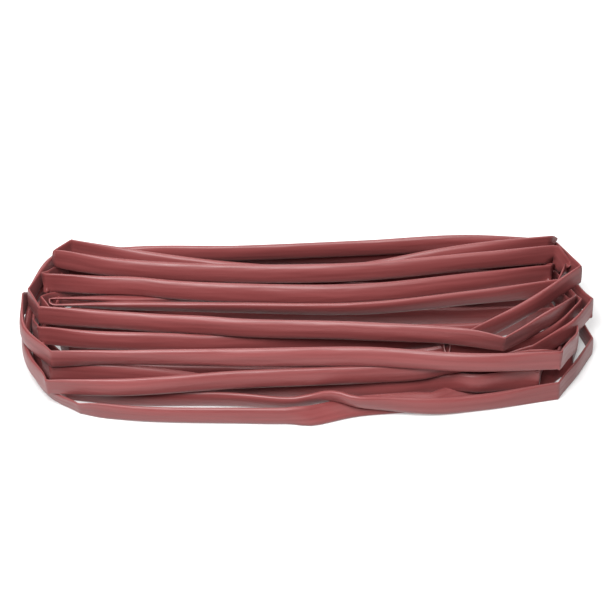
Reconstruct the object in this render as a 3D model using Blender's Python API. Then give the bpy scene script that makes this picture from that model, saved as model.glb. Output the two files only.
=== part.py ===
"""Heat shrink tubing: one continuous length, folded back and forth into a loose flat hank.

The tube is hollow and open at its two cut ends. It lies with its flat width on edge, is pressed
flat at each fold and opens into a lens along the runs. Metres, +Z up, the hank's length along X,
its front towards -Y, the floor at z = 0.
"""

import math

import bpy
import numpy as np

# Driving dimensions of the tube and of the hank, in metres.
BORE = 0.010
WALL = 0.0008
FLAT_GAP = 0.0004
PUFFED_THICKNESS = 0.0062
HANK_LENGTH = 0.425
CLEARANCE = 0.0005
OPENING_LENGTH = 0.055
CUT_END_OPENNESS = 0.90
WIDTH_LOSS = 0.20
SHARPEST_MITRE = 0.12

# How finely the tube's middle line is followed, and how its solid is faceted.
STEP = 0.008
NEAR_FOLD_STEPS = (0.014, 0.042)
FOLD_ROOM = 1.5
RUN_SPACING = 0.070
SECTION_SIDES = 8
EDGE_SHARE = math.tan(math.pi / SECTION_SIDES)

# How runs that lie too close are moved apart.
SPREAD_ROUNDS = 140
SPREAD_SMOOTHING = 5
SPREAD_SHARE = 0.45
FAR_ALONG = 2.2
NEAR_ACROSS = 2.6
BESIDE_SHARE = 0.6
EDGE_INSET = 0.6
EDGE_TAPER = 0.7

TUBE_COLOUR = (0.235, 0.062, 0.060, 1.0)
TUBE_ROUGHNESS = 0.42

# The stretches of the tube between two folds, in order from cut end to cut end. Each has its name,
# how easily it gives way to others, its lean back in degrees (one, or one a point), and points
# (x, y, z) of its middle line, in millimetres for a tube and a hank of the next two sizes.
LAYOUT_FLAT_WIDTH = 0.0171
LAYOUT_LENGTH = 0.425
STRETCHES = (
    ("trench lip", 0.15, -50, (
        (-62, 100, 32), (-110, 98, 34), (-150, 90, 40.5), (-186, 83.6, 46),
    )),
    ("trench turn", 0.1, -50, (
        (-186, 83.6, 46), (-189.5, 82.8, 45.4), (-190.5, 81.5, 44.5), (-189.5, 80.3, 43.6),
        (-186, 79.5, 43),
    )),
    ("trench", 0.3, (-50, -40, -30, -20, -12, 0), (
        (-186, 79.5, 43), (-140, 80, 42), (-50, 80, 40), (45, 80, 39.5), (125, 92, 40), (189, 102, 41),
    )),
    ("trench tip", 0.3, 0, (
        (189, 102, 41), (196, 119, 45),
    )),
    ("trench return", 0.2, 0, (
        (196, 119, 45), (187, 124, 56),
    )),
    ("top front", 0.2, (0, 5, 12, 12, 10, 5), (
        (187, 124, 56), (125, 115, 56), (45, 105, 54.5), (-50, 103, 54), (-140, 110, 54),
        (-190, 121, 53),
    )),
    ("top left fold", 0.2, 0, (
        (-190, 121, 53), (-177.5, 132, 54.5),
    )),
    ("top middle", 0.2, (0, 6, 10, 10, 10, 8, 8, 0), (
        (-177.5, 132, 54.5), (-140, 129, 49.5), (-50, 120, 42), (20, 116, 42), (60, 117, 48),
        (95, 120, 54.5), (125, 124, 57.5), (182, 133.5, 57),
    )),
    ("top right fold", 0.2, 0, (
        (182, 133.5, 57), (186, 137, 51),
    )),
    ("top back", 0.2, (0, 0, -6, -8, -4, 0), (
        (186, 137, 51), (125, 135.5, 57), (45, 134, 53.5), (-50, 131, 51), (-140, 138, 43),
        (-178, 139, 36),
    )),
    ("second left fold", 0.5, 0, (
        (-178, 139, 36), (-190, 124, 36), (-197, 103, 46),
    )),
    ("second", 0.2, (0, 12, 16, 16, 12, 0), (
        (-197, 103, 46), (-140, 96.5, 46.5), (-50, 90, 46), (45, 90, 46), (125, 103, 46),
        (185, 119, 41),
    )),
    ("second right fold", 0.6, 0, (
        (185, 119, 41), (181, 129, 34),
    )),
    ("far inner top", 1, 0, (
        (181, 129, 34), (140, 124, 28), (60, 112, 28), (-60, 112, 28), (-140, 112, 27), (-178, 111, 27),
    )),
    ("inner left fold", 0.6, 0, (
        (-178, 111, 27), (-191, 102, 29), (-199.5, 88, 36),
    )),
    ("inner left return", 0.6, 0, (
        (-199.5, 88, 36), (-192, 74, 30),
    )),
    ("hidden high", 0.8, 0, (
        (-192, 74, 30), (-100, 70, 24), (0, 68, 20), (80, 62, 23), (120, 55, 30),
    )),
    ("rising band", 0.2, 0, (
        (120, 55, 30), (168, 80, 42), (205, 103, 53.5),
    )),
    ("rising band return", 0.2, 0, (
        (205, 103, 53.5), (190, 143, 43),
    )),
    ("far outer top", 0.8, 0, (
        (190, 143, 43), (100, 142, 42), (0, 142, 40), (-100, 144, 38), (-182, 147, 36),
    )),
    ("third far fold", 0.6, 0, (
        (-182, 147, 36), (-191, 132, 38), (-198, 112, 41), (-203, 96, 44), (-206, 82, 48),
    )),
    ("third left fold", 0.2, 0, (
        (-206, 82, 48), (-197, 62, 48),
    )),
    ("third", 0.2, (0, 8, 10, 10, 0, -14), (
        (-197, 62, 48), (-140, 56, 48), (-50, 45, 50), (45, 41, 50), (125, 33, 49.5), (145, 30, 47),
    )),
    ("third band", 0.2, (-14, -8, -4, 0, 0), (
        (145, 30, 47), (165, 44.5, 48), (175, 54, 47), (189, 69.5, 43), (200, 87, 36),
    )),
    ("third band return", 0.4, 0, (
        (200, 87, 36), (199, 99, 23), (184, 121, 24.5),
    )),
    ("far second 3", 1, 0, (
        (184, 121, 24.5), (100, 119, 24.5), (-100, 120, 25), (-178, 121, 26),
    )),
    ("fifth left fold", 0.5, 0, (
        (-178, 121, 26), (-190, 100, 24), (-196.5, 78, 24), (-196, 50, 24), (-187, 25, 24),
    )),
    ("fifth", 0.2, (0, 4, 8, 4, 4, 8, 8, 10, 10, 10), (
        (-187, 25, 24), (-140, 23.5, 24.5), (-90, 25.5, 16), (-62, 26.5, 9.5), (-30, 26, 7.5),
        (45, 24, 8.5), (90, 22.5, 11), (125, 22, 14.5), (150, 24.5, 16), (172, 28, 17),
    )),
    ("fifth right fold", 0.4, 0, (
        (172, 28, 17), (186, 55, 13), (196, 76, 8),
    )),
    ("fifth right return", 0.4, 0, (
        (196, 76, 8), (178, 110, 7),
    )),
    ("far base 4", 1, 0, (
        (178, 110, 7), (100, 109, 7), (-100, 109, 7), (-174, 112, 7),
    )),
    ("hidden low fold", 0.8, 0, (
        (-174, 112, 7), (-195.5, 80, 7), (-176, 48, 7),
    )),
    ("hidden low", 0.9, 0, (
        (-176, 48, 7), (-100, 43, 7), (0, 40, 7), (80, 38, 8), (130, 38, 16), (168, 43, 27),
    )),
    ("wide band", 0.2, 0, (
        (168, 43, 27), (183, 53, 30), (198, 64, 32), (213.5, 86, 35),
    )),
    ("wide band return", 0.4, 0, (
        (213.5, 86, 35), (209, 101, 29), (194, 138, 29),
    )),
    ("far second 1", 1, 0, (
        (194, 138, 29), (100, 142, 25), (0, 143, 25), (-100, 144, 20), (-188, 143, 14),
    )),
    ("front left fold", 0.3, (0, -20, -40, -42, -30, -25), (
        (-188, 143, 14), (-204, 110, 9), (-210, 78, 7), (-202, 50, 7), (-188, 20, 7), (-166, 3, 7),
    )),
    ("front", 0.2, (-25, -10, -10, -4, 0, 30, 50, 54, 54, 54, 40), (
        (-166, 3, 7), (-152, 0.5, 7), (-140, -1, 7), (-50, -4.5, 7), (-12, -4.5, 7), (4, -3, 6),
        (14, 1, 5), (28, 4.5, 4), (81, 13.7, 5.4), (125, 20.6, 6.3), (172, 30, 7),
    )),
    ("front right fold", 0.4, (40, 20, 5), (
        (172, 30, 7), (196, 60, 7), (202, 76, 7),
    )),
    ("front right return", 0.4, 0, (
        (202, 76, 7), (182, 124, 7),
    )),
    ("far base 3", 1, 0, (
        (182, 124, 7), (100, 121, 7), (-100, 121, 7), (-170, 128, 16),
    )),
    ("fourth left fold", 0.4, 0, (
        (-170, 128, 16), (-192, 118, 26), (-207.5, 86, 26), (-206, 43, 23.5), (-189, 8, 25),
    )),
    ("fourth", 0.2, (-15, 4, 8, 8, 8, 4), (
        (-189, 8, 25), (-140, 7, 25), (-50, 14.5, 26), (45, 20.5, 26), (125, 27, 27), (172, 37, 27),
    )),
    ("fourth right fold", 0.5, 0, (
        (172, 37, 27), (184, 47, 19), (189, 60, 12), (190, 77, 8),
    )),
    ("fourth right return", 0.5, 0, (
        (190, 77, 8), (191, 100, 7), (186, 136, 7),
    )),
    ("far base 2", 1, 0, (
        (186, 136, 7), (100, 137, 7), (-100, 138, 7), (-180, 134, 7),
    )),
    ("base left fold", 0.4, 0, (
        (-180, 134, 7), (-197, 108, 7), (-203, 78, 7), (-197, 46, 7), (-176, 21.5, 7),
    )),
    ("base front", 0.2, (0, 0, 0, -15, -25, -26, -28, -28, -18, -3, 0, 0, 0), (
        (-176, 21.5, 7), (-158, 19, 7), (-140, 16.5, 7), (-50, 13, 7), (-12, 9.5, 7.2), (4, 9, 8.5),
        (14, 6.5, 11.5), (28, 2.8, 12.5), (50, 3.3, 12.5), (81, 4.5, 10), (105, 6.7, 8),
        (125, 9.5, 7.4), (186, 22, 7),
    )),
    ("base right fold", 0.3, 0, (
        (186, 22, 7), (214, 73, 7),
    )),
    ("base right return", 0.3, 0, (
        (214, 73, 7), (190, 147, 7),
    )),
    ("far base 1", 1, 0, (
        (190, 147, 7), (100, 150, 7), (-100, 151, 7), (-188, 150, 7),
    )),
    ("sixth far fold", 0.5, 0, (
        (-188, 150, 7), (-206, 114, 18), (-209, 87, 38),
    )),
    ("sixth left fold", 0.3, 0, (
        (-209, 87, 38), (-207, 47, 41), (-186, 22, 40),
    )),
    ("sixth", 0.2, (-5, -12, 8, 18, 10, 0), (
        (-186, 22, 40), (-140, 22.5, 40.5), (-50, 22, 41), (45, 23, 41), (125, 17, 40.5), (186, 20, 40),
    )),
    ("sixth right fold", 0.3, 0, (
        (186, 20, 40), (194, 42, 32), (200, 60, 26), (200, 72, 24),
    )),
    ("sixth right return", 0.5, 0, (
        (200, 72, 24), (190, 87, 24), (168, 95, 14),
    )),
    ("far base 5", 1, 0, (
        (168, 95, 14), (130, 91, 7), (100, 90, 7), (-100, 90, 7), (-168, 98, 7),
    )),
    ("hidden middle fold", 1, 0, (
        (-168, 98, 7), (-184, 80, 10), (-176, 64, 16),
    )),
    ("hidden middle", 1, 0, (
        (-176, 64, 16), (-100, 56, 12), (0, 52, 10), (60, 51, 17), (90, 50, 24), (120, 46, 28),
        (145, 43, 30),
    )),
    ("second band", 0.3, 0, (
        (145, 43, 30), (168, 49, 33), (189, 65, 33.5), (205, 85.5, 34.5),
    )),
    ("second band return", 0.5, 0, (
        (205, 85.5, 34.5), (203, 98, 28), (189, 130, 26),
    )),
    ("far second 2", 1, 0, (
        (189, 130, 26), (100, 131, 26), (-100, 132, 26), (-184, 133, 26),
    )),
    ("last far fold", 0.5, 0, (
        (-184, 133, 26), (-194, 108, 27), (-199, 86, 29), (-200, 66, 33), (-196, 49, 37.5),
    )),
    ("last", 0.3, (0, 8, 8, 8, 4, 0, 0, 0, 0), (
        (-196, 49, 37.5), (-140, 42, 40), (-90, 44, 37), (-50, 46.5, 34.5), (45, 52, 31),
        (88, 50.5, 31), (97, 49.5, 33), (102.5, 46.5, 35), (104.5, 42.5, 36),
    )),
)


def tube_sizes():
    """Outer perimeter, flat width and flat thickness of the tube."""
    middle = math.pi * (BORE + WALL)
    flat_thickness = 2 * WALL + FLAT_GAP
    flat_width = middle / 2 + (1 - math.pi / 2) * (flat_thickness - WALL) + WALL
    return middle, flat_width, flat_thickness


def half_sizes(openness):
    """Half width and half thickness of the outer wall, from pressed flat (0) to puffed (1)."""
    middle, flat_width, flat_thickness = tube_sizes()
    half_thickness = (flat_thickness + (PUFFED_THICKNESS - flat_thickness) * openness) / 2
    grown = 2 * half_thickness - flat_thickness
    half_width = flat_width / 2 - WIDTH_LOSS * grown
    return half_width, half_thickness


def reach_along(points):
    return np.concatenate([[0], np.cumsum(np.linalg.norm(np.diff(points, axis=0), axis=1))])


def curve_through(points, reach, at):
    """Points of a smooth curve through the points, at the given reaches."""
    if len(points) == 2:
        share = ((at - reach[0]) / (reach[1] - reach[0]))[:, None]
        return points[0] + share * (points[1] - points[0])
    slopes = np.gradient(points, reach, axis=0)
    span = np.clip(np.searchsorted(reach, at, side="right") - 1, 0, len(points) - 2)
    width = (reach[span + 1] - reach[span])[:, None]
    t = (at - reach[span])[:, None] / width
    return (
        (2 * t**3 - 3 * t**2 + 1) * points[span]
        + (t**3 - 2 * t**2 + t) * width * slopes[span]
        + (3 * t**2 - 2 * t**3) * points[span + 1]
        + (t**3 - t**2) * width * slopes[span + 1]
    )


def lay_route():
    """The middle line at about every STEP: points, fold flags, freedom to move and lean."""
    _, flat_width, _ = tube_sizes()
    across = flat_width / LAYOUT_FLAT_WIDTH
    scale = np.array([HANK_LENGTH / LAYOUT_LENGTH, across, across]) / 1000
    points, folds, freedom, lean = [], [], [], []
    for _, free, leans, layout in STRETCHES:
        corners = np.array(layout, float) * scale
        reach = reach_along(corners)
        count = max(2, len(corners) - 1, round(reach[-1] / STEP))
        at = reach[-1] * np.arange(count) / count
        leans = np.broadcast_to(np.array(leans, float), len(corners))
        points.extend(curve_through(corners, reach, at))
        folds.extend([True] + [False] * (count - 1))
        freedom.extend([free] * count)
        lean.extend(np.interp(at, reach, leans))
    points.append(corners[-1])
    folds.append(True)
    freedom.append(free)
    lean.append(leans[-1])
    return np.array(points), np.array(folds), np.array(freedom, float), np.array(lean, float)


def openness_along(points, folds):
    """How far the tube has opened at each point: 0 at a fold, 1 well away from one."""
    reach = reach_along(points)
    fold_reach = reach[folds]
    distance = np.abs(reach[:, None] - fold_reach[None, 1:-1]).min(axis=1)
    share = np.clip(distance / OPENING_LENGTH, 0, 1)
    opened = share * share * (3 - 2 * share)
    near_cut = np.minimum(reach, reach[-1] - reach) / OPENING_LENGTH
    at_cut = opened * near_cut + CUT_END_OPENNESS * (1 - near_cut)
    return np.where(near_cut < 1, at_cut, opened)


def unit(vectors):
    return vectors / np.linalg.norm(vectors, axis=-1, keepdims=True)


def frames_along(points, folds, lean):
    """Tangent, width direction and thickness direction at each point, and the mitre at folds."""
    steps = unit(np.diff(points, axis=0))
    before = np.vstack([steps[:1], steps])
    after = np.vstack([steps, steps[-1:]])
    tangent = unit(before + after)
    # A positive lean tips the top edge back, towards +Y, and a negative one tips it to the front.
    angle = np.radians(lean)
    up = np.stack([np.zeros(len(points)), np.sin(angle), np.cos(angle)], axis=1)
    width = unit(up - (up * tangent).sum(axis=1, keepdims=True) * tangent)
    thickness = np.cross(width, tangent)
    half_turn = np.clip((before * after).sum(axis=1), -1, 1)
    mitre = 1 / np.sqrt(np.clip((1 + half_turn) / 2, SHARPEST_MITRE, 1))
    return tangent, width, thickness, np.where(folds, mitre, 1.0)


def nearest_between(centre_a, width_a, half_a, centre_b, width_b, half_b):
    """Shortest vector between pairs of width lines, and where along each it is, from -1 to 1."""
    apart = centre_a - centre_b
    turn = (width_a * width_b).sum(axis=1)
    along_a = (width_a * apart).sum(axis=1)
    along_b = (width_b * apart).sum(axis=1)
    spread = np.maximum(1 - turn**2, 1e-6)
    s = np.clip((turn * along_b - along_a) / spread, -half_a, half_a)
    t = np.clip(along_b + turn * s, -half_b, half_b)
    s = np.clip(turn * t - along_a, -half_a, half_a)
    gap = apart + s[:, None] * width_a - t[:, None] * width_b
    return gap, s / half_a, t / half_b


def spread_apart(points, folds, freedom, lean):
    """Moves stretches that lie too close to each other apart, each by its freedom."""
    reach = reach_along(points)
    half_width, half_thickness = half_sizes(openness_along(points, folds))
    for _ in range(SPREAD_ROUNDS):
        tangent, width, thickness, _ = frames_along(points, folds, lean)
        centre_gap = np.linalg.norm(points[:, None] - points[None], axis=2)
        far_along = np.abs(reach[:, None] - reach[None]) > FAR_ALONG * 2 * half_width[0]
        a, b = np.nonzero((centre_gap < NEAR_ACROSS * half_width[0]) & far_along)
        a, b = a[a < b], b[a < b]
        apart = points[a] - points[b]
        mean = unit(tangent[a] + tangent[b] * np.sign((tangent[a] * tangent[b]).sum(axis=1, keepdims=True)))
        along = (apart * mean).sum(axis=1)
        beside = np.abs(along) < BESIDE_SHARE * STEP
        a, b, along, mean = a[beside], b[beside], along[beside], mean[beside]
        gap, s, t = nearest_between(
            points[a] - along[:, None] * mean, width[a], half_width[a] - EDGE_INSET * half_thickness[a],
            points[b], width[b], half_width[b] - EDGE_INSET * half_thickness[b],
        )
        distance = np.linalg.norm(gap, axis=1)
        sideways = np.sign(points[a, 1] - points[b, 1])[:, None] * np.array([0, 1, 0])
        away = np.where(distance[:, None] > 1e-4, gap / np.maximum(distance, 1e-9)[:, None], sideways)
        need = half_thickness[a] * np.sqrt(1 - EDGE_TAPER * s**2)
        need += half_thickness[b] * np.sqrt(1 - EDGE_TAPER * t**2)
        lack = np.maximum(need + CLEARANCE - distance, 0)
        total = freedom[a] + freedom[b]
        push = np.zeros_like(points)
        weight = np.zeros(len(points))
        np.add.at(push, a, (lack * freedom[a] / total)[:, None] * away)
        np.add.at(push, b, -(lack * freedom[b] / total)[:, None] * away)
        np.add.at(weight, a, lack > 0)
        np.add.at(weight, b, lack > 0)
        push /= np.maximum(weight, 1)[:, None]
        for _ in range(SPREAD_SMOOTHING):
            push[1:-1] = 0.5 * push[1:-1] + 0.25 * (push[:-2] + push[2:])
        points = points + push * (1 + SPREAD_SHARE)
        lowest = half_width * width[:, 2] + EDGE_SHARE * half_thickness * np.abs(thickness[:, 2])
        points[:, 2] = np.maximum(points[:, 2], lowest)
    return points


def cad_stations(points, folds):
    """Indices of the points where the solid has a section: close at folds, sparse along runs."""
    reach = reach_along(points)
    chosen = set()
    fold_indices = np.nonzero(folds)[0]
    for first, last in zip(fold_indices[:-1], fold_indices[1:]):
        start, end = reach[first], reach[last]
        wanted = [start, end]
        wanted += [start + step for step in NEAR_FOLD_STEPS if start + FOLD_ROOM * step < (start + end) / 2]
        wanted += [end - step for step in NEAR_FOLD_STEPS if start + FOLD_ROOM * step < (start + end) / 2]
        inner = (end - start) - 2 * NEAR_FOLD_STEPS[-1]
        count = int(inner // RUN_SPACING)
        if count > 0:
            wanted += list(start + NEAR_FOLD_STEPS[-1] + inner * np.arange(1, count + 1) / (count + 1))
        chosen.update(first + int(np.abs(reach[first : last + 1] - at).argmin()) for at in wanted)
    return np.array(sorted(chosen))


def section_rings(points, width, thickness, mitre, half_width, half_thickness):
    """A ring of SECTION_SIDES corners round each point, with a level facet at each edge."""
    angle = (np.arange(SECTION_SIDES) + 0.5) * 2 * math.pi / SECTION_SIDES
    corner = 1 / math.cos(math.pi / SECTION_SIDES)
    across = (np.cos(angle) * corner)[None, :, None] * half_width[:, None, None] * width[:, None]
    through = (
        (np.sin(angle) * corner)[None, :, None]
        * (half_thickness * mitre)[:, None, None]
        * thickness[:, None]
    )
    return points[:, None] + across + through


def tube_mesh(points, folds, lean):
    tangent, width, thickness, mitre = frames_along(points, folds, lean)
    half_width, half_thickness = half_sizes(openness_along(points, folds))
    use = cad_stations(points, folds)
    route = (points[use], width[use], thickness[use], mitre[use])
    outer = section_rings(*route, half_width[use], half_thickness[use])
    inner = section_rings(*route, half_width[use] - WALL, half_thickness[use] - WALL)
    count, sides = len(use), SECTION_SIDES
    corners = np.vstack([outer.reshape(-1, 3), inner.reshape(-1, 3)])
    lowest, highest = corners.min(axis=0), corners.max(axis=0)
    corners -= np.array([(lowest[0] + highest[0]) / 2, (lowest[1] + highest[1]) / 2, lowest[2]])
    faces = []
    for ring in range(count - 1):
        for side in range(sides):
            nxt = (side + 1) % sides
            a, b = ring * sides + side, ring * sides + nxt
            c, d = b + sides, a + sides
            faces.append((a, d, c, b))
            shift = count * sides
            faces.append((a + shift, b + shift, c + shift, d + shift))
    for ring, turned in ((0, False), (count - 1, True)):
        for side in range(sides):
            nxt = (side + 1) % sides
            a, b = ring * sides + side, ring * sides + nxt
            shift = count * sides
            rim = (a, b, b + shift, a + shift)
            faces.append(rim[::-1] if turned else rim)
    mesh = bpy.data.meshes.new("heat_shrink_tube")
    mesh.from_pydata([tuple(corner) for corner in corners], [], faces)
    mesh.validate()
    return mesh


def tube_material():
    material = bpy.data.materials.new("red_brown_polyolefin")
    material.use_nodes = True
    shader = material.node_tree.nodes["Principled BSDF"]
    shader.inputs["Base Color"].default_value = TUBE_COLOUR
    shader.inputs["Roughness"].default_value = TUBE_ROUGHNESS
    shader.inputs["Metallic"].default_value = 0.0
    return material


def clear_scene():
    for old in list(bpy.data.objects):
        bpy.data.objects.remove(old, do_unlink=True)


def main():
    clear_scene()
    points, folds, freedom, lean = lay_route()
    points = spread_apart(points, folds, freedom, lean)
    mesh = tube_mesh(points, folds, lean)
    mesh.materials.append(tube_material())
    mesh.shade_smooth()
    mesh.set_sharp_from_angle(angle=math.radians(50))
    tube = bpy.data.objects.new("heat_shrink_tube", mesh)
    bpy.context.scene.collection.objects.link(tube)


main()
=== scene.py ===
"""Heat shrink tubing folded into a loose flat hank: the looks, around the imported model.

The tube is swept along the same route as the solid's, finely: lens-shaped along its runs, pressed
flat and creased at its folds, with a thin wall and an open bore at its two cut ends.
"""

import math

import bpy
import numpy as np
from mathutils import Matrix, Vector


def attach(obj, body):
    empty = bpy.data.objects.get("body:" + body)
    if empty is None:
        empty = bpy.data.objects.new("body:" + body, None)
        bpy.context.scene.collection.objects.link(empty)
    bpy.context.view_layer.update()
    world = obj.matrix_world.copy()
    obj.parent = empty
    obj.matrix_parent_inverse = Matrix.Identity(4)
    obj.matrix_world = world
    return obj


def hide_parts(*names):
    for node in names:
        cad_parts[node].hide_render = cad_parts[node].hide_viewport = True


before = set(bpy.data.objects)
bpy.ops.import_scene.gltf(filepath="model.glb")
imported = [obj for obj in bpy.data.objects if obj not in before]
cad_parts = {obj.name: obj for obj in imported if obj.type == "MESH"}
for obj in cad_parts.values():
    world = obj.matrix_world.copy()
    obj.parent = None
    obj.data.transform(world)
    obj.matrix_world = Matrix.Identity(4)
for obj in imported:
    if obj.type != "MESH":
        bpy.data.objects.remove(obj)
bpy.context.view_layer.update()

# The tube and the hank, in metres, as in the part's source.
BORE = 0.010
WALL = 0.0008
FLAT_GAP = 0.0004
PUFFED_THICKNESS = 0.0062
HANK_LENGTH = 0.425
CLEARANCE = 0.0005
OPENING_LENGTH = 0.055
CUT_END_OPENNESS = 0.90
WIDTH_LOSS = 0.20
SHARPEST_MITRE = 0.12

# How finely the middle line is followed, and how runs that lie too close are moved apart.
STEP = 0.008
SPREAD_ROUNDS = 140
SPREAD_SMOOTHING = 5
SPREAD_SHARE = 0.45
FAR_ALONG = 2.2
NEAR_ACROSS = 2.6
BESIDE_SHARE = 0.6
EDGE_INSET = 0.6
EDGE_TAPER = 0.7
EDGE_SHARE = math.tan(math.pi / 8)

# The swept skin. A section's power is how fast its side rises from the crease.
STATION_SPACING = 0.0062
FOLD_SHOULDER = 0.0016
SECTION_POINTS = 22
FLAT_POWER = 0.5
LENS_POWER = 0.95

# The looks of the tubing. CREASE_START is how far from the middle of the flat width a crease starts.
TINT_DARK = (0.155, 0.032, 0.032, 1)
TINT_LIGHT = (0.202, 0.048, 0.048, 1)
TINT_CREASE = (0.225, 0.072, 0.072, 1)
TINT_CUT = (0.520, 0.270, 0.265, 1)
CREASE_START = 0.965
CREASE_SHARE = 0.55
ROUGHNESS_RANGE = (0.32, 0.52)

# The floor and the lights: name, place, aim, size and power in watts.
FLOOR_TINT = (0.60, 0.60, 0.60, 1)
FLOOR_GLOW = 0.30
FLOOR_SIZE = 14
SKY_STRENGTH = 0.12
LIGHTS = (
    ("overhead_box", (-0.1, 0.1, 1.2), (0, 0, 0), (0.9, 0.7), 9),
    ("high_front_box", (-0.3, -0.7, 1.15), (0, 0, 0.03), (0.9, 0.5), 33),
    ("back_fill", (0.4, 1.1, 0.9), (0, 0, 0.03), (1.2, 0.6), 9),
)

# The photograph's framing.
PHOTO_PIXELS = 612
MM_PER_PIXEL = 0.75
PHOTO_FLOOR_ROW = 417
CAMERA_ELEVATION = math.radians(40)
LENS_MM = 200
SENSOR_MM = 36
AIM_HEIGHT = 0.030
VIEW_END = 50

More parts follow.
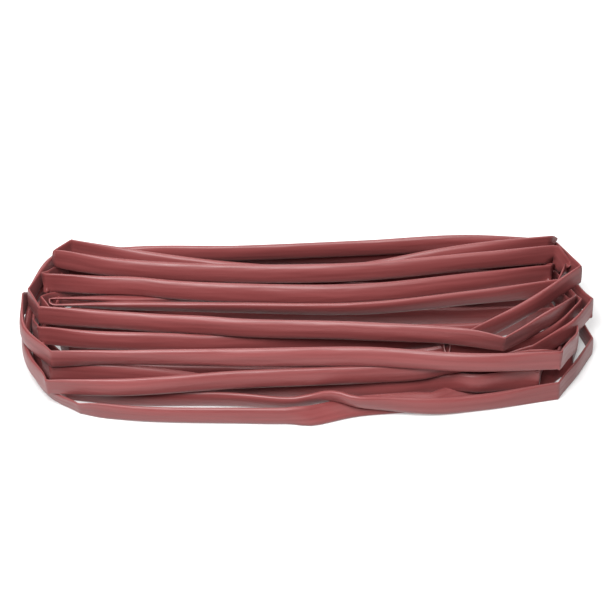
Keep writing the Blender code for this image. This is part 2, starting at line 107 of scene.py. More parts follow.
# The stretches of the tube, as in the part's source: name, freedom, lean back in degrees and the
# points of the middle line, in millimetres.
LAYOUT_FLAT_WIDTH = 0.0171
LAYOUT_LENGTH = 0.425
STRETCHES = (
    ("trench lip", 0.15, -50, (
        (-62, 100, 32), (-110, 98, 34), (-150, 90, 40.5), (-186, 83.6, 46),
    )),
    ("trench turn", 0.1, -50, (
        (-186, 83.6, 46), (-189.5, 82.8, 45.4), (-190.5, 81.5, 44.5), (-189.5, 80.3, 43.6),
        (-186, 79.5, 43),
    )),
    ("trench", 0.3, (-50, -40, -30, -20, -12, 0), (
        (-186, 79.5, 43), (-140, 80, 42), (-50, 80, 40), (45, 80, 39.5), (125, 92, 40), (189, 102, 41),
    )),
    ("trench tip", 0.3, 0, (
        (189, 102, 41), (196, 119, 45),
    )),
    ("trench return", 0.2, 0, (
        (196, 119, 45), (187, 124, 56),
    )),
    ("top front", 0.2, (0, 5, 12, 12, 10, 5), (
        (187, 124, 56), (125, 115, 56), (45, 105, 54.5), (-50, 103, 54), (-140, 110, 54),
        (-190, 121, 53),
    )),
    ("top left fold", 0.2, 0, (
        (-190, 121, 53), (-177.5, 132, 54.5),
    )),
    ("top middle", 0.2, (0, 6, 10, 10, 10, 8, 8, 0), (
        (-177.5, 132, 54.5), (-140, 129, 49.5), (-50, 120, 42), (20, 116, 42), (60, 117, 48),
        (95, 120, 54.5), (125, 124, 57.5), (182, 133.5, 57),
    )),
    ("top right fold", 0.2, 0, (
        (182, 133.5, 57), (186, 137, 51),
    )),
    ("top back", 0.2, (0, 0, -6, -8, -4, 0), (
        (186, 137, 51), (125, 135.5, 57), (45, 134, 53.5), (-50, 131, 51), (-140, 138, 43),
        (-178, 139, 36),
    )),
    ("second left fold", 0.5, 0, (
        (-178, 139, 36), (-190, 124, 36), (-197, 103, 46),
    )),
    ("second", 0.2, (0, 12, 16, 16, 12, 0), (
        (-197, 103, 46), (-140, 96.5, 46.5), (-50, 90, 46), (45, 90, 46), (125, 103, 46),
        (185, 119, 41),
    )),
    ("second right fold", 0.6, 0, (
        (185, 119, 41), (181, 129, 34),
    )),
    ("far inner top", 1, 0, (
        (181, 129, 34), (140, 124, 28), (60, 112, 28), (-60, 112, 28), (-140, 112, 27), (-178, 111, 27),
    )),
    ("inner left fold", 0.6, 0, (
        (-178, 111, 27), (-191, 102, 29), (-199.5, 88, 36),
    )),
    ("inner left return", 0.6, 0, (
        (-199.5, 88, 36), (-192, 74, 30),
    )),
    ("hidden high", 0.8, 0, (
        (-192, 74, 30), (-100, 70, 24), (0, 68, 20), (80, 62, 23), (120, 55, 30),
    )),
    ("rising band", 0.2, 0, (
        (120, 55, 30), (168, 80, 42), (205, 103, 53.5),
    )),
    ("rising band return", 0.2, 0, (
        (205, 103, 53.5), (190, 143, 43),
    )),
    ("far outer top", 0.8, 0, (
        (190, 143, 43), (100, 142, 42), (0, 142, 40), (-100, 144, 38), (-182, 147, 36),
    )),
    ("third far fold", 0.6, 0, (
        (-182, 147, 36), (-191, 132, 38), (-198, 112, 41), (-203, 96, 44), (-206, 82, 48),
    )),
    ("third left fold", 0.2, 0, (
        (-206, 82, 48), (-197, 62, 48),
    )),
    ("third", 0.2, (0, 8, 10, 10, 0, -14), (
        (-197, 62, 48), (-140, 56, 48), (-50, 45, 50), (45, 41, 50), (125, 33, 49.5), (145, 30, 47),
    )),
    ("third band", 0.2, (-14, -8, -4, 0, 0), (
        (145, 30, 47), (165, 44.5, 48), (175, 54, 47), (189, 69.5, 43), (200, 87, 36),
    )),
    ("third band return", 0.4, 0, (
        (200, 87, 36), (199, 99, 23), (184, 121, 24.5),
    )),
    ("far second 3", 1, 0, (
        (184, 121, 24.5), (100, 119, 24.5), (-100, 120, 25), (-178, 121, 26),
    )),
    ("fifth left fold", 0.5, 0, (
        (-178, 121, 26), (-190, 100, 24), (-196.5, 78, 24), (-196, 50, 24), (-187, 25, 24),
    )),
    ("fifth", 0.2, (0, 4, 8, 4, 4, 8, 8, 10, 10, 10), (
        (-187, 25, 24), (-140, 23.5, 24.5), (-90, 25.5, 16), (-62, 26.5, 9.5), (-30, 26, 7.5),
        (45, 24, 8.5), (90, 22.5, 11), (125, 22, 14.5), (150, 24.5, 16), (172, 28, 17),
    )),
    ("fifth right fold", 0.4, 0, (
        (172, 28, 17), (186, 55, 13), (196, 76, 8),
    )),
    ("fifth right return", 0.4, 0, (
        (196, 76, 8), (178, 110, 7),
    )),
    ("far base 4", 1, 0, (
        (178, 110, 7), (100, 109, 7), (-100, 109, 7), (-174, 112, 7),
    )),
    ("hidden low fold", 0.8, 0, (
        (-174, 112, 7), (-195.5, 80, 7), (-176, 48, 7),
    )),
    ("hidden low", 0.9, 0, (
        (-176, 48, 7), (-100, 43, 7), (0, 40, 7), (80, 38, 8), (130, 38, 16), (168, 43, 27),
    )),
    ("wide band", 0.2, 0, (
        (168, 43, 27), (183, 53, 30), (198, 64, 32), (213.5, 86, 35),
    )),
    ("wide band return", 0.4, 0, (
        (213.5, 86, 35), (209, 101, 29), (194, 138, 29),
    )),
    ("far second 1", 1, 0, (
        (194, 138, 29), (100, 142, 25), (0, 143, 25), (-100, 144, 20), (-188, 143, 14),
    )),
    ("front left fold", 0.3, (0, -20, -40, -42, -30, -25), (
        (-188, 143, 14), (-204, 110, 9), (-210, 78, 7), (-202, 50, 7), (-188, 20, 7), (-166, 3, 7),
    )),
    ("front", 0.2, (-25, -10, -10, -4, 0, 30, 50, 54, 54, 54, 40), (
        (-166, 3, 7), (-152, 0.5, 7), (-140, -1, 7), (-50, -4.5, 7), (-12, -4.5, 7), (4, -3, 6),
        (14, 1, 5), (28, 4.5, 4), (81, 13.7, 5.4), (125, 20.6, 6.3), (172, 30, 7),
    )),
    ("front right fold", 0.4, (40, 20, 5), (
        (172, 30, 7), (196, 60, 7), (202, 76, 7),
    )),
    ("front right return", 0.4, 0, (
        (202, 76, 7), (182, 124, 7),
    )),
    ("far base 3", 1, 0, (
        (182, 124, 7), (100, 121, 7), (-100, 121, 7), (-170, 128, 16),
    )),
    ("fourth left fold", 0.4, 0, (
        (-170, 128, 16), (-192, 118, 26), (-207.5, 86, 26), (-206, 43, 23.5), (-189, 8, 25),
    )),
    ("fourth", 0.2, (-15, 4, 8, 8, 8, 4), (
        (-189, 8, 25), (-140, 7, 25), (-50, 14.5, 26), (45, 20.5, 26), (125, 27, 27), (172, 37, 27),
    )),
    ("fourth right fold", 0.5, 0, (
        (172, 37, 27), (184, 47, 19), (189, 60, 12), (190, 77, 8),
    )),
    ("fourth right return", 0.5, 0, (
        (190, 77, 8), (191, 100, 7), (186, 136, 7),
    )),
    ("far base 2", 1, 0, (
        (186, 136, 7), (100, 137, 7), (-100, 138, 7), (-180, 134, 7),
    )),
    ("base left fold", 0.4, 0, (
        (-180, 134, 7), (-197, 108, 7), (-203, 78, 7), (-197, 46, 7), (-176, 21.5, 7),
    )),
    ("base front", 0.2, (0, 0, 0, -15, -25, -26, -28, -28, -18, -3, 0, 0, 0), (
        (-176, 21.5, 7), (-158, 19, 7), (-140, 16.5, 7), (-50, 13, 7), (-12, 9.5, 7.2), (4, 9, 8.5),
        (14, 6.5, 11.5), (28, 2.8, 12.5), (50, 3.3, 12.5), (81, 4.5, 10), (105, 6.7, 8),
        (125, 9.5, 7.4), (186, 22, 7),
    )),
    ("base right fold", 0.3, 0, (
        (186, 22, 7), (214, 73, 7),
    )),
    ("base right return", 0.3, 0, (
        (214, 73, 7), (190, 147, 7),
    )),
    ("far base 1", 1, 0, (
        (190, 147, 7), (100, 150, 7), (-100, 151, 7), (-188, 150, 7),
    )),
    ("sixth far fold", 0.5, 0, (
        (-188, 150, 7), (-206, 114, 18), (-209, 87, 38),
    )),
    ("sixth left fold", 0.3, 0, (
        (-209, 87, 38), (-207, 47, 41), (-186, 22, 40),
    )),
    ("sixth", 0.2, (-5, -12, 8, 18, 10, 0), (
        (-186, 22, 40), (-140, 22.5, 40.5), (-50, 22, 41), (45, 23, 41), (125, 17, 40.5), (186, 20, 40),
    )),
    ("sixth right fold", 0.3, 0, (
        (186, 20, 40), (194, 42, 32), (200, 60, 26), (200, 72, 24),
    )),
    ("sixth right return", 0.5, 0, (
        (200, 72, 24), (190, 87, 24), (168, 95, 14),
    )),
    ("far base 5", 1, 0, (
        (168, 95, 14), (130, 91, 7), (100, 90, 7), (-100, 90, 7), (-168, 98, 7),
    )),
    ("hidden middle fold", 1, 0, (
        (-168, 98, 7), (-184, 80, 10), (-176, 64, 16),
    )),
    ("hidden middle", 1, 0, (
        (-176, 64, 16), (-100, 56, 12), (0, 52, 10), (60, 51, 17), (90, 50, 24), (120, 46, 28),
        (145, 43, 30),
    )),
    ("second band", 0.3, 0, (
        (145, 43, 30), (168, 49, 33), (189, 65, 33.5), (205, 85.5, 34.5),
    )),
    ("second band return", 0.5, 0, (
        (205, 85.5, 34.5), (203, 98, 28), (189, 130, 26),
    )),
    ("far second 2", 1, 0, (
        (189, 130, 26), (100, 131, 26), (-100, 132, 26), (-184, 133, 26),
    )),
    ("last far fold", 0.5, 0, (
        (-184, 133, 26), (-194, 108, 27), (-199, 86, 29), (-200, 66, 33), (-196, 49, 37.5),
    )),
    ("last", 0.3, (0, 8, 8, 8, 4, 0, 0, 0, 0), (
        (-196, 49, 37.5), (-140, 42, 40), (-90, 44, 37), (-50, 46.5, 34.5), (45, 52, 31),
        (88, 50.5, 31), (97, 49.5, 33), (102.5, 46.5, 35), (104.5, 42.5, 36),
    )),
)


def tube_sizes():
    """Middle perimeter, flat width and flat thickness of the tube."""
    middle = math.pi * (BORE + WALL)
    flat_thickness = 2 * WALL + FLAT_GAP
    flat_width = middle / 2 + (1 - math.pi / 2) * (flat_thickness - WALL) + WALL
    return middle, flat_width, flat_thickness


def half_sizes(openness):
    """Half width and half thickness of the outer wall, from pressed flat (0) to puffed (1)."""
    _, flat_width, flat_thickness = tube_sizes()
    half_thickness = (flat_thickness + (PUFFED_THICKNESS - flat_thickness) * openness) / 2
    grown = 2 * half_thickness - flat_thickness
    return flat_width / 2 - WIDTH_LOSS * grown, half_thickness


def reach_along(points):
    return np.concatenate([[0], np.cumsum(np.linalg.norm(np.diff(points, axis=0), axis=1))])


def curve_through(points, reach, at):
    """Points of a smooth curve through the points, at the given reaches."""
    if len(points) == 2:
        share = ((at - reach[0]) / (reach[1] - reach[0]))[:, None]
        return points[0] + share * (points[1] - points[0])
    slopes = np.gradient(points, reach, axis=0)
    span = np.clip(np.searchsorted(reach, at, side="right") - 1, 0, len(points) - 2)
    width = (reach[span + 1] - reach[span])[:, None]
    t = (at - reach[span])[:, None] / width
    return (
        (2 * t**3 - 3 * t**2 + 1) * points[span]
        + (t**3 - 2 * t**2 + t) * width * slopes[span]
        + (3 * t**2 - 2 * t**3) * points[span + 1]
        + (t**3 - t**2) * width * slopes[span + 1]
    )


def lay_route():
    """The middle line at about every STEP: points, fold flags, freedom to move and lean."""
    _, flat_width, _ = tube_sizes()
    across = flat_width / LAYOUT_FLAT_WIDTH
    scale = np.array([HANK_LENGTH / LAYOUT_LENGTH, across, across]) / 1000
    points, folds, freedom, lean = [], [], [], []
    for _, free, leans, layout in STRETCHES:
        corners = np.array(layout, float) * scale
        reach = reach_along(corners)
        count = max(2, len(corners) - 1, round(reach[-1] / STEP))
        at = reach[-1] * np.arange(count) / count
        leans = np.broadcast_to(np.array(leans, float), len(corners))
        points.extend(curve_through(corners, reach, at))
        folds.extend([True] + [False] * (count - 1))
        freedom.extend([free] * count)
        lean.extend(np.interp(at, reach, leans))
    points.append(corners[-1])
    folds.append(True)
    freedom.append(free)
    lean.append(leans[-1])
    return np.array(points), np.array(folds), np.array(freedom, float), np.array(lean, float)


def openness_along(points, folds):
    """How far the tube has opened at each point: 0 at a fold, 1 well away from one."""
    reach = reach_along(points)
    fold_reach = reach[folds]
    distance = np.abs(reach[:, None] - fold_reach[None, 1:-1]).min(axis=1)
    share = np.clip(distance / OPENING_LENGTH, 0, 1)
    opened = share * share * (3 - 2 * share)
    near_cut = np.minimum(reach, reach[-1] - reach) / OPENING_LENGTH
    at_cut = opened * near_cut + CUT_END_OPENNESS * (1 - near_cut)
    return np.where(near_cut < 1, at_cut, opened)


def unit(vectors):
    return vectors / np.linalg.norm(vectors, axis=-1, keepdims=True)


def frames_along(points, folds, lean):
    """Tangent, width direction and thickness direction at each point, and the mitre at folds."""
    steps = unit(np.diff(points, axis=0))
    before = np.vstack([steps[:1], steps])
    after = np.vstack([steps, steps[-1:]])
    tangent = unit(before + after)
    # A positive lean tips the top edge back, towards +Y, and a negative one tips it to the front.
    angle = np.radians(lean)
    up = np.stack([np.zeros(len(points)), np.sin(angle), np.cos(angle)], axis=1)
    width = unit(up - (up * tangent).sum(axis=1, keepdims=True) * tangent)
    thickness = np.cross(width, tangent)
    half_turn = np.clip((before * after).sum(axis=1), -1, 1)
    mitre = 1 / np.sqrt(np.clip((1 + half_turn) / 2, SHARPEST_MITRE, 1))
    return tangent, width, thickness, np.where(folds, mitre, 1.0)


def nearest_between(centre_a, width_a, half_a, centre_b, width_b, half_b):
    """Shortest vector between pairs of width lines, and where along each it is, from -1 to 1."""
    apart = centre_a - centre_b
    turn = (width_a * width_b).sum(axis=1)
    along_a = (width_a * apart).sum(axis=1)
    along_b = (width_b * apart).sum(axis=1)
    spread = np.maximum(1 - turn**2, 1e-6)
    s = np.clip((turn * along_b - along_a) / spread, -half_a, half_a)
    t = np.clip(along_b + turn * s, -half_b, half_b)
    s = np.clip(turn * t - along_a, -half_a, half_a)
    gap = apart + s[:, None] * width_a - t[:, None] * width_b
    return gap, s / half_a, t / half_b


def spread_apart(points, folds, freedom, lean):
    """Moves stretches that lie too close to each other apart, each by its freedom."""
    reach = reach_along(points)
    half_width, half_thickness = half_sizes(openness_along(points, folds))
    for _ in range(SPREAD_ROUNDS):
        tangent, width, thickness, _ = frames_along(points, folds, lean)
        centre_gap = np.linalg.norm(points[:, None] - points[None], axis=2)
        far_along = np.abs(reach[:, None] - reach[None]) > FAR_ALONG * 2 * half_width[0]
        a, b = np.nonzero((centre_gap < NEAR_ACROSS * half_width[0]) & far_along)
        a, b = a[a < b], b[a < b]
        apart = points[a] - points[b]
        same_way = np.sign((tangent[a] * tangent[b]).sum(axis=1, keepdims=True))
        mean = unit(tangent[a] + tangent[b] * same_way)
        along = (apart * mean).sum(axis=1)
        beside = np.abs(along) < BESIDE_SHARE * STEP
        a, b, along, mean = a[beside], b[beside], along[beside], mean[beside]
        gap, s, t = nearest_between(
            points[a] - along[:, None] * mean, width[a], half_width[a] - EDGE_INSET * half_thickness[a],
            points[b], width[b], half_width[b] - EDGE_INSET * half_thickness[b],
        )
        distance = np.linalg.norm(gap, axis=1)
        sideways = np.sign(points[a, 1] - points[b, 1])[:, None] * np.array([0, 1, 0])
        away = np.where(distance[:, None] > 1e-4, gap / np.maximum(distance, 1e-9)[:, None], sideways)
        need = half_thickness[a] * np.sqrt(1 - EDGE_TAPER * s**2)
        need += half_thickness[b] * np.sqrt(1 - EDGE_TAPER * t**2)
        lack = np.maximum(need + CLEARANCE - distance, 0)
        total = freedom[a] + freedom[b]
        push = np.zeros_like(points)
        weight = np.zeros(len(points))
        np.add.at(push, a, (lack * freedom[a] / total)[:, None] * away)
        np.add.at(push, b, -(lack * freedom[b] / total)[:, None] * away)
        np.add.at(weight, a, lack > 0)
        np.add.at(weight, b, lack > 0)
        push /= np.maximum(weight, 1)[:, None]
        for _ in range(SPREAD_SMOOTHING):
            push[1:-1] = 0.5 * push[1:-1] + 0.25 * (push[:-2] + push[2:])
        points = points + push * (1 + SPREAD_SHARE)
        lowest = half_width * width[:, 2] + EDGE_SHARE * half_thickness * np.abs(thickness[:, 2])
        points[:, 2] = np.maximum(points[:, 2], lowest)
    return points


def fine_route(points, folds, lean):
    """The route again, close enough together for the swept skin, with shoulders beside each fold."""
    at_folds = np.nonzero(folds)[0]
    fine, fine_folds, fine_lean = [], [], []
    for first, last in zip(at_folds[:-1], at_folds[1:]):
        stretch = points[first : last + 1]
        reach = reach_along(stretch)
        length = reach[-1]
        inner = length - 2 * FOLD_SHOULDER
        count = max(3, len(stretch) - 1, round(inner / STATION_SPACING))
        at = FOLD_SHOULDER + inner * np.arange(count + 1) / count
        at = np.concatenate([[0], at])
        fine.extend(curve_through(stretch, reach, at))
        fine_folds.extend([True] + [False] * (len(at) - 1))
        fine_lean.extend(np.interp(at, reach, lean[first : last + 1]))
    fine.append(points[-1])
    fine_folds.append(True)
    fine_lean.append(lean[-1])
    return np.array(fine), np.array(fine_folds), np.array(fine_lean)


def add_values(mesh, name, kind, values):
    layer = mesh.attributes.new(name, kind, "POINT")
    field = "vector" if kind == "FLOAT_VECTOR" else "value"
    layer.data.foreach_set(field, np.ascontiguousarray(values, dtype=np.float32).ravel())


def route_line(points, folds, lean):
    """The middle line as a mesh of edges that carries each section's directions and half sizes."""
    tangent, width, thickness, mitre = frames_along(points, folds, lean)
    openness = openness_along(points, folds)
    half_width, half_thickness = half_sizes(openness)
    mesh = bpy.data.meshes.new("tube_route")
    edges = [(i, i + 1) for i in range(len(points) - 1)]
    mesh.from_pydata([tuple(p) for p in points], edges, [])
    add_values(mesh, "middle", "FLOAT_VECTOR", points)
    add_values(mesh, "across", "FLOAT_VECTOR", width * half_width[:, None])
    add_values(mesh, "through", "FLOAT_VECTOR", thickness * (half_thickness * mitre)[:, None])
    add_values(mesh, "openness", "FLOAT", openness)
    add_values(mesh, "reach", "FLOAT", reach_along(points))
    line = bpy.data.objects.new("tube_route", mesh)
    bpy.context.scene.collection.objects.link(line)
    return line


class Tree:
    """A Geometry Nodes tree with a few short ways to add its nodes."""

    def __init__(self, name):
        self.group = bpy.data.node_groups.new(name, "GeometryNodeTree")
        self.group.is_modifier = True

    def input(self, name, kind, value=None):
        socket = self.group.interface.new_socket(name, in_out="INPUT", socket_type=kind)
        if value is not None:
            socket.default_value = value
        return socket.identifier

    def node(self, kind, **settings):
        node = self.group.nodes.new(kind)
        for name, value in settings.items():
            setattr(node, name, value)
        return node

    def link(self, source, target):
        self.group.links.new(source, target)

    def math(self, operation, a, b=None):
        node = self.node("ShaderNodeMath", operation=operation)
        for socket, value in zip(node.inputs, (a, b)):
            if value is None:
                continue
            if isinstance(value, (int, float)):
                socket.default_value = value
            else:
                self.link(value, socket)
        return node.outputs[0]

    def stored(self, name, kind):
        node = self.node("GeometryNodeInputNamedAttribute", data_type=kind)
        node.inputs["Name"].default_value = name
        return node.outputs["Attribute"]

    def scaled(self, vector, factor):
        node = self.node("ShaderNodeVectorMath", operation="SCALE")
        self.link(vector, node.inputs[0])
        self.link(factor, node.inputs["Scale"])
        return node.outputs[0]

    def sum(self, a, b):
        node = self.node("ShaderNodeVectorMath", operation="ADD")
        self.link(a, node.inputs[0])
        self.link(b, node.inputs[1])
        return node.outputs[0]


def signed_power(tree, value, exponent):
    """The value's size raised to a power, with its sign kept."""
    size = tree.math("POWER", tree.math("ABSOLUTE", value), exponent)
    return tree.math("MULTIPLY", size, tree.math("SIGN", value))


def swept_rings(tree, given):
    """A round skin along the route, each point of which knows its share of the turn."""
    rail = tree.node("GeometryNodeMeshToCurve")
    tree.link(given.outputs["Route"], rail.inputs["Mesh"])
    ring = tree.node("GeometryNodeCurvePrimitiveCircle", mode="RADIUS")
    tree.link(given.outputs["Section points"], ring.inputs["Resolution"])
    turn = tree.node("GeometryNodeSplineParameter")
    kept = tree.node("GeometryNodeStoreNamedAttribute", data_type="FLOAT", domain="POINT")
    kept.inputs["Name"].default_value = "round_share"
    tree.link(ring.outputs["Curve"], kept.inputs["Geometry"])
    tree.link(turn.outputs["Factor"], kept.inputs["Value"])
    skin = tree.node("GeometryNodeCurveToMesh")
    tree.link(rail.outputs["Curve"], skin.inputs["Curve"])
    tree.link(kept.outputs["Geometry"], skin.inputs["Profile Curve"])
    return skin.outputs["Mesh"]


def sweep_tree(material):
    """Sweeps a section that is flat at a fold and a lens along a run, down the route it is given."""
    tree = Tree("flat_tube_sweep")
    tree.input("Route", "NodeSocketGeometry")
    points_socket = tree.input("Section points", "NodeSocketInt", SECTION_POINTS)
    flat_socket = tree.input("Flat section power", "NodeSocketFloat", FLAT_POWER)
    lens_socket = tree.input("Lens section power", "NodeSocketFloat", LENS_POWER)
    tree.group.interface.new_socket("Skin", in_out="OUTPUT", socket_type="NodeSocketGeometry")
    given = tree.node("NodeGroupInput")
    result = tree.node("NodeGroupOutput")
    rings = swept_rings(tree, given)

    angle = tree.math("MULTIPLY", tree.stored("round_share", "FLOAT"), 2 * math.pi)
    cosine = tree.math("COSINE", angle)
    sine = tree.math("SINE", angle)
    blend = tree.node("ShaderNodeMix", data_type="FLOAT")
    tree.link(tree.stored("openness", "FLOAT"), blend.inputs[0])
    tree.link(given.outputs["Flat section power"], blend.inputs[2])
    tree.link(given.outputs["Lens section power"], blend.inputs[3])
    rise = signed_power(tree, sine, blend.outputs[0])
    offset = tree.sum(
        tree.scaled(tree.stored("across", "FLOAT_VECTOR"), cosine),
        tree.scaled(tree.stored("through", "FLOAT_VECTOR"), rise),
    )
    place = tree.node("GeometryNodeSetPosition")
    tree.link(rings, place.inputs["Geometry"])
    tree.link(tree.sum(tree.stored("middle", "FLOAT_VECTOR"), offset), place.inputs["Position"])

    grain = tree.node("ShaderNodeCombineXYZ")
    tree.link(tree.stored("reach", "FLOAT"), grain.inputs[0])
    tree.link(cosine, grain.inputs[1])
    tree.link(sine, grain.inputs[2])
    marked = tree.node("GeometryNodeStoreNamedAttribute", data_type="FLOAT_VECTOR", domain="POINT")
    marked.inputs["Name"].default_value = "tube_place"
    tree.link(place.outputs["Geometry"], marked.inputs["Geometry"])
    tree.link(grain.outputs[0], marked.inputs["Value"])

    smooth = tree.node("GeometryNodeSetShadeSmooth")
    tree.link(marked.outputs["Geometry"], smooth.inputs["Geometry"])
    real = tree.node("GeometryNodeRealizeInstances")
    tree.link(smooth.outputs["Geometry"], real.inputs["Geometry"])
    painted = tree.node("GeometryNodeSetMaterial")
    painted.inputs["Material"].default_value = material
    tree.link(real.outputs["Geometry"], painted.inputs["Geometry"])
    tree.link(painted.outputs["Geometry"], result.inputs["Skin"])
    settings = {points_socket: SECTION_POINTS, flat_socket: FLAT_POWER, lens_socket: LENS_POWER}
    return tree.group, settings


def plain_copy(obj, name):
    """The evaluated object as a plain mesh object of its own, and the source object removed."""
    graph = bpy.context.evaluated_depsgraph_get()
    mesh = bpy.data.meshes.new_from_object(obj.evaluated_get(graph), depsgraph=graph)
    mesh.name = name
    bpy.data.objects.remove(obj, do_unlink=True)
    made = bpy.data.objects.new(name, mesh)
    bpy.context.scene.collection.objects.link(made)
    return made


def face_outwards(mesh):
    """Turns the skin's faces over if they point at the middle line."""
    middle = np.empty(len(mesh.vertices) * 3, np.float32)
    mesh.attributes["middle"].data.foreach_get("vector", middle)
    middle = middle.reshape(-1, 3)
    outward = 0.0
    for face in mesh.polygons:
        outward += face.normal.dot(face.center - Vector(middle[face.vertices[0]])) * face.area
    if outward < 0:
        mesh.flip_normals()


def sweep_tube(points, folds, lean, material):
    """The whole tube: the swept skin with its wall turned inwards, open at both cut ends."""
    line = route_line(points, folds, lean)
    group, settings = sweep_tree(material)
    sweep = line.modifiers.new("sweep", "NODES")
    sweep.node_group = group
    for identifier, value in settings.items():
        sweep[identifier] = value
    tube = plain_copy(line, "red_brown_tubing")
    face_outwards(tube.data)
    wall = tube.modifiers.new("wall", "SOLIDIFY")
    wall.thickness = WALL
    wall.offset = -1
    wall.use_rim = True
    tube.data.materials.append(cut_material())
    wall.material_offset_rim = 1
    return plain_copy(tube, "red_brown_tubing")


def tube_noise(tree, place, scale, detail):
    """Noise in the tube's own places: its reach in metres, then across and through it from -1 to 1."""
    stretch = tree.nodes.new("ShaderNodeVectorMath")
    stretch.operation = "MULTIPLY"
    stretch.inputs[1].default_value = scale
    tree.links.new(place, stretch.inputs[0])
    noise = tree.nodes.new("ShaderNodeTexNoise")
    noise.inputs["Scale"].default_value = 1.0
    noise.inputs["Detail"].default_value = detail
    tree.links.new(stretch.outputs[0], noise.inputs["Vector"])
    return noise.outputs["Fac"]


def streaked_tint(tree, place):
    tint = tree.nodes.new("ShaderNodeValToRGB")
    dark, light = tint.color_ramp.elements
    dark.position, dark.color = 0.30, TINT_DARK
    light.position, light.color = 0.72, TINT_LIGHT
    tree.links.new(tube_noise(tree, place, (9.0, 2.2, 2.2), 3.0), tint.inputs["Fac"])
    return tint.outputs["Color"]


def paler_at_creases(tree, place, tint):
    parts = tree.nodes.new("ShaderNodeSeparateXYZ")
    tree.links.new(place, parts.inputs[0])
    from_middle = tree.nodes.new("ShaderNodeMath")
    from_middle.operation = "ABSOLUTE"
    tree.links.new(parts.outputs["Y"], from_middle.inputs[0])
    at_crease = tree.nodes.new("ShaderNodeMapRange")
    at_crease.inputs["From Min"].default_value = CREASE_START
    at_crease.inputs["To Max"].default_value = CREASE_SHARE
    tree.links.new(from_middle.outputs[0], at_crease.inputs["Value"])
    paler = tree.nodes.new("ShaderNodeMix")
    paler.data_type = "RGBA"
    paler.inputs["B"].default_value = TINT_CREASE
    tree.links.new(at_crease.outputs["Result"], paler.inputs["Factor"])
    tree.links.new(tint, paler.inputs["A"])
    return paler.outputs["Result"]


def bumps(tree, height, strength, distance, below=None):
    bump = tree.nodes.new("ShaderNodeBump")
    bump.inputs["Strength"].default_value = strength
    bump.inputs["Distance"].default_value = distance
    tree.links.new(height, bump.inputs["Height"])
    if below is not None:
        tree.links.new(below, bump.inputs["Normal"])
    return bump.outputs["Normal"]


def tubing_material():
    """Red-brown polyolefin: satin, with drawing lines along it, shallow dents and pale creases."""
    material = bpy.data.materials.new("satin red-brown polyolefin")
    material.use_nodes = True
    tree = material.node_tree
    shader = tree.nodes["Principled BSDF"]
    shader.inputs["Specular IOR Level"].default_value = 0.4
    shader.inputs["Sheen Weight"].default_value = 0.03
    shader.inputs["Sheen Roughness"].default_value = 0.5
    shader.inputs["Sheen Tint"].default_value = (0.95, 0.75, 0.78, 1)
    attribute = tree.nodes.new("ShaderNodeAttribute")
    attribute.attribute_name = "tube_place"
    place = attribute.outputs["Vector"]
    tint = paler_at_creases(tree, place, streaked_tint(tree, place))
    tree.links.new(tint, shader.inputs["Base Color"])
    rough = tree.nodes.new("ShaderNodeMapRange")
    rough.inputs["To Min"].default_value, rough.inputs["To Max"].default_value = ROUGHNESS_RANGE
    tree.links.new(tube_noise(tree, place, (60.0, 3.0, 3.0), 2.0), rough.inputs["Value"])
    tree.links.new(rough.outputs["Result"], shader.inputs["Roughness"])
    dents = bumps(tree, tube_noise(tree, place, (26.0, 1.3, 1.3), 1.5), 0.5, 0.0012)
    lines = bumps(tree, tube_noise(tree, place, (4.0, 14.0, 14.0), 2.0), 0.25, 0.0002, dents)
    tree.links.new(lines, shader.inputs["Normal"])
    return material


def cut_material():
    """The freshly cut wall, paler and duller than the skin."""
    material = bpy.data.materials.new("cut red-brown polyolefin")
    material.use_nodes = True
    shader = material.node_tree.nodes["Principled BSDF"]
    shader.inputs["Base Color"].default_value = TINT_CUT
    shader.inputs["Roughness"].default_value = 0.6
    return material


def centre_on_floor(tube):
    """Moves the tube's mesh to the row's frame and returns how far it moved."""
    corners = np.empty(len(tube.data.vertices) * 3, np.float32)
    tube.data.vertices.foreach_get("co", corners)
    corners = corners.reshape(-1, 3)
    lowest, highest = corners.min(axis=0), corners.max(axis=0)
    shift = np.array([-(lowest[0] + highest[0]) / 2, -(lowest[1] + highest[1]) / 2, -lowest[2]])
    for vertex in tube.data.vertices:
        vertex.co += Vector(shift)
    return shift


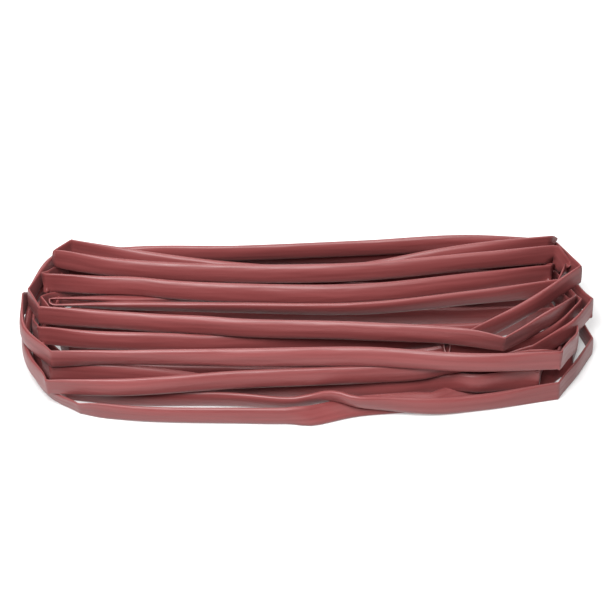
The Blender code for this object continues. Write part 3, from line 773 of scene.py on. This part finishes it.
def plain_floor():
    material = bpy.data.materials.new("pale backdrop")
    material.use_nodes = True
    shader = material.node_tree.nodes["Principled BSDF"]
    shader.inputs["Base Color"].default_value = FLOOR_TINT
    shader.inputs["Roughness"].default_value = 0.9
    shader.inputs["Emission Color"].default_value = (1, 1, 1, 1)
    shader.inputs["Emission Strength"].default_value = FLOOR_GLOW
    bpy.ops.mesh.primitive_plane_add(size=FLOOR_SIZE, location=(0, 0, 0))
    floor = bpy.context.object
    floor.name = "pale_floor"
    floor.data.materials.append(material)


def soft_light(name, place, aim, size, power):
    data = bpy.data.lights.new(name, "AREA")
    data.shape = "RECTANGLE"
    data.size, data.size_y = size
    data.energy = power
    lamp = bpy.data.objects.new(name, data)
    bpy.context.scene.collection.objects.link(lamp)
    lamp.location = place
    lamp.rotation_euler = (Vector(aim) - Vector(place)).to_track_quat("-Z", "Y").to_euler()


def studio():
    world = bpy.data.worlds.new("studio")
    world.use_nodes = True
    background = world.node_tree.nodes["Background"]
    background.inputs["Color"].default_value = (1.0, 1.0, 1.0, 1)
    background.inputs["Strength"].default_value = SKY_STRENGTH
    bpy.context.scene.world = world
    bpy.context.scene.view_settings.view_transform = "Standard"
    for light in LIGHTS:
        soft_light(*light)


def photo_camera(aim):
    data = bpy.data.cameras.new("photo_camera")
    data.lens = LENS_MM
    data.sensor_width = SENSOR_MM
    camera = bpy.data.objects.new("photo_camera", data)
    bpy.context.scene.collection.objects.link(camera)
    view_width = PHOTO_PIXELS * MM_PER_PIXEL / 1000
    distance = view_width * LENS_MM / SENSOR_MM
    back = Vector((0, -math.cos(CAMERA_ELEVATION), math.sin(CAMERA_ELEVATION)))
    camera.location = Vector(aim) + back * distance
    camera.rotation_euler = (math.pi / 2 - CAMERA_ELEVATION, 0, 0)
    data.clip_end = VIEW_END
    bpy.context.scene.camera = camera


def view_aim(shift):
    """The point on the photograph's middle ray, in the row's frame."""
    up_the_picture = (PHOTO_FLOOR_ROW - PHOTO_PIXELS / 2) * MM_PER_PIXEL / 1000
    depth = (up_the_picture - AIM_HEIGHT * math.cos(CAMERA_ELEVATION)) / math.sin(CAMERA_ELEVATION)
    return (shift[0], depth + shift[1], AIM_HEIGHT)


points, folds, freedom, lean = lay_route()
points = spread_apart(points, folds, freedom, lean)
points, folds, lean = fine_route(points, folds, lean)
tube = sweep_tube(points, folds, lean, tubing_material())
shift = centre_on_floor(tube)
photo_camera(view_aim(shift))
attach(tube, "root")
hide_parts("heat_shrink_tube")

plain_floor()
studio()
